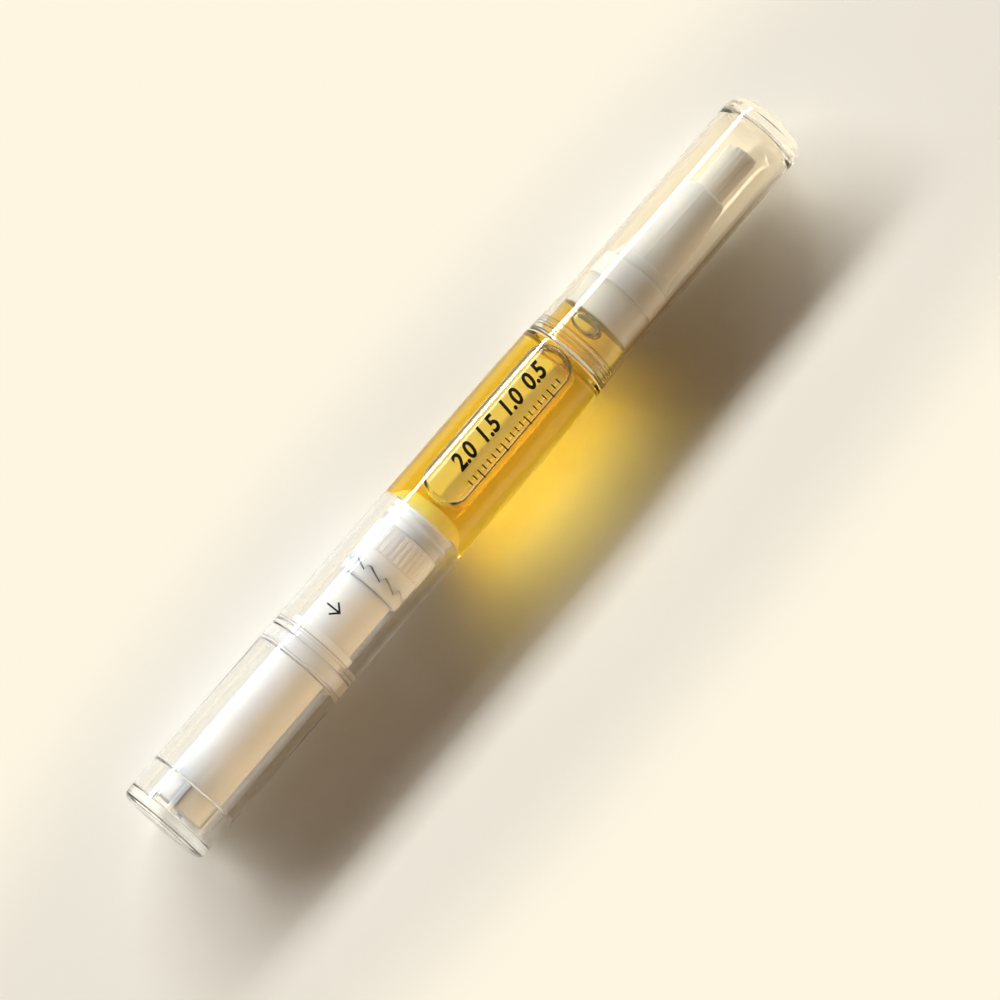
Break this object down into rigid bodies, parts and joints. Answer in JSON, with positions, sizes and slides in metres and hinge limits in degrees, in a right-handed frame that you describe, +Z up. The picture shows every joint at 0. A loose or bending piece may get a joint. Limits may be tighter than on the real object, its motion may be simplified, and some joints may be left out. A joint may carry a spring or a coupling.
{
  "type": "twist-up nail oil pen",
  "caption": "Clear twist-up pen of nail oil: the knob drives a screw and piston that feed the oil to a brush under a pull-off cap.",
  "frame": {"origin": "centre of the footprint of the capped pen as it lies on a table, at the height of the table", "axes": "+X along the pen from the knob to the brush, +Z up, +Y to the left seen from the knob"},
  "size_m": [0.1396, 0.0148, 0.0148],
  "materials": {
    "clear_plastic": "clear polished moulding",
    "white_plastic": "satin white moulding",
    "natural_plastic": "milky natural moulding",
    "nylon": "fine white bristles",
    "oil": "clear golden liquid"
  },
  "bodies": {
    "barrel": {"barrel": "clear_plastic", "thread_nut": "white_plastic", "nozzle_collar": "white_plastic", "nozzle_cone": "white_plastic", "feed_tube": "natural_plastic", "brush_ferrule": "white_plastic", "brush": "nylon", "oil_fill": "oil"},
    "knob": {"knob_shell": "clear_plastic", "knob_hub": "white_plastic", "drive_sleeve": "white_plastic", "click_ring": "white_plastic"},
    "rod": {"screw_rod": "white_plastic"},
    "piston": {"piston": "natural_plastic"},
    "cap": {"cap": "clear_plastic"}
  },
  "joints": [
    {"name": "knob_turn", "type": "hinge", "parent": "barrel", "child": "knob", "pos_m": [0, 0, 0.0074], "axis": [1, 0, 0], "range_deg": [0, 5220], "deforming": ["click_ring"]},
    {"name": "rod_advance", "type": "slide", "parent": "knob", "child": "rod", "axis": [1, 0, 0], "range_m": [0, 0.0291]},
    {"name": "piston_advance", "type": "slide", "parent": "barrel", "child": "piston", "axis": [1, 0, 0], "range_m": [0, 0.0291], "deforming": ["oil_fill"]},
    {"name": "cap_pull", "type": "slide", "parent": "barrel", "child": "cap", "axis": [1, 0, 0], "range_m": [0, 0.046]}
  ],
  "couplings": [
    {"joint": "rod_advance", "follows": "knob_turn", "m_per_rad": 0.00031831},
    {"joint": "piston_advance", "follows": "knob_turn", "m_per_rad": 0.00031831}
  ]
}
